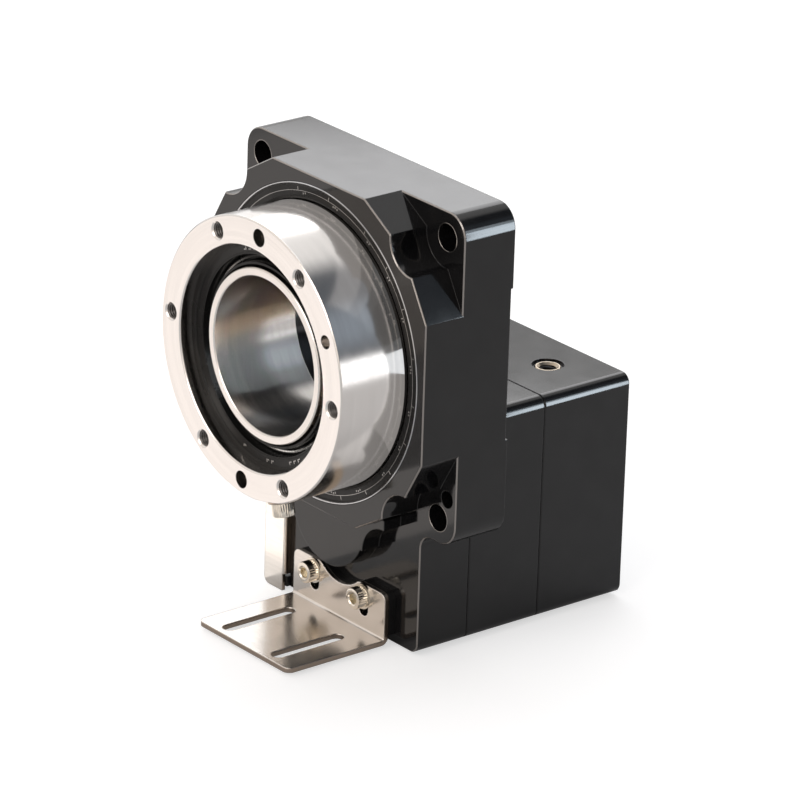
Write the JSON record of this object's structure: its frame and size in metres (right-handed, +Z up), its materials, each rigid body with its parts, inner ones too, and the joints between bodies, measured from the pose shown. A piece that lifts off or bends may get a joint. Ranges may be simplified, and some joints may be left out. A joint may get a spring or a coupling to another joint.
{
  "type": "hollow rotary platform",
  "caption": "Hollow rotary platform: square housing with a geared turntable ring on a crossed roller bearing, drive blocks below for a servo motor, and slotted sensor brackets.",
  "frame": {"origin": "on the table axis, in the front plane of the four mounting ears", "axes": "-Y out of the table face along its axis, +X to the right seen from the table face, +Z up away from the drive blocks"},
  "size_m": [0.13, 0.151, 0.1805],
  "materials": {
    "black_anodised": "gloss black anodised",
    "table_steel": "fine turned",
    "sleeve_steel": "brushed",
    "sheet_steel": "brushed sheet",
    "bearing_steel": "ground",
    "gear_steel": "hobbed",
    "seal_rubber": "matte black",
    "spring_steel": "drawn wire",
    "nickel_screw": "nickel plated",
    "black_screw": "black oxide",
    "black_spacer": "matte black",
    "bronze_cage": "machined"
  },
  "bodies": {
    "base": {"housing": "black_anodised", "rear_cover": "black_anodised", "hollow_sleeve": "sleeve_steel", "sleeve_carrier": "black_anodised", "outer_oil_seal": "seal_rubber", "bearing_outer_ring": "bearing_steel", "bearing_retainer": "gear_steel", "front_bearing_outer_ring": "bearing_steel", "rear_bearing_outer_ring": "bearing_steel", "bearing_clip": "spring_steel", "middle_block": "black_anodised", "motor_adapter": "black_anodised", "access_bush": "sleeve_steel", "locating_dowels": "bearing_steel", "sensor_bracket": "sheet_steel", "bracket_spacer": "black_spacer", "bracket_washers": "nickel_screw", "bracket_screws": "nickel_screw", "side_plate": "sheet_steel", "side_plate_screws": "nickel_screw", "cover_screws": "black_screw", "sleeve_screws": "black_screw", "retainer_screws": "black_screw", "middle_block_screws": "black_screw", "adapter_screws": "black_screw"},
    "table": {"table_ring": "table_steel", "inner_oil_seal": "seal_rubber", "seal_spring": "spring_steel", "bearing_inner_ring": "bearing_steel", "drive_gear": "gear_steel", "gear_screws": "black_screw", "sensor_flag": "sheet_steel", "flag_screw": "nickel_screw"},
    "roller_set": {"roller_cage": "bronze_cage", "crossed_rollers": "bearing_steel"},
    "drive_shaft": {"pinion_shaft": "gear_steel", "front_bearing_inner_ring": "bearing_steel", "rear_bearing_inner_ring": "bearing_steel", "coupling_hub": "gear_steel", "coupling_screw": "black_screw"}
  },
  "joints": [
    {"name": "table_spin", "type": "hinge", "parent": "base", "child": "table", "pos_m": [0, 0, 0], "axis": [0, -1, 0], "continuous": true},
    {"name": "shaft_spin", "type": "hinge", "parent": "base", "child": "drive_shaft", "pos_m": [0, 0, -0.069], "axis": [0, -1, 0], "continuous": true},
    {"name": "roller_spin", "type": "hinge", "parent": "base", "child": "roller_set", "pos_m": [0, 0, 0], "axis": [0, -1, 0], "continuous": true}
  ],
  "couplings": [
    {"joint": "shaft_spin", "follows": "table_spin", "ratio": -5},
    {"joint": "roller_spin", "follows": "table_spin", "ratio": 0.4832}
  ]
}
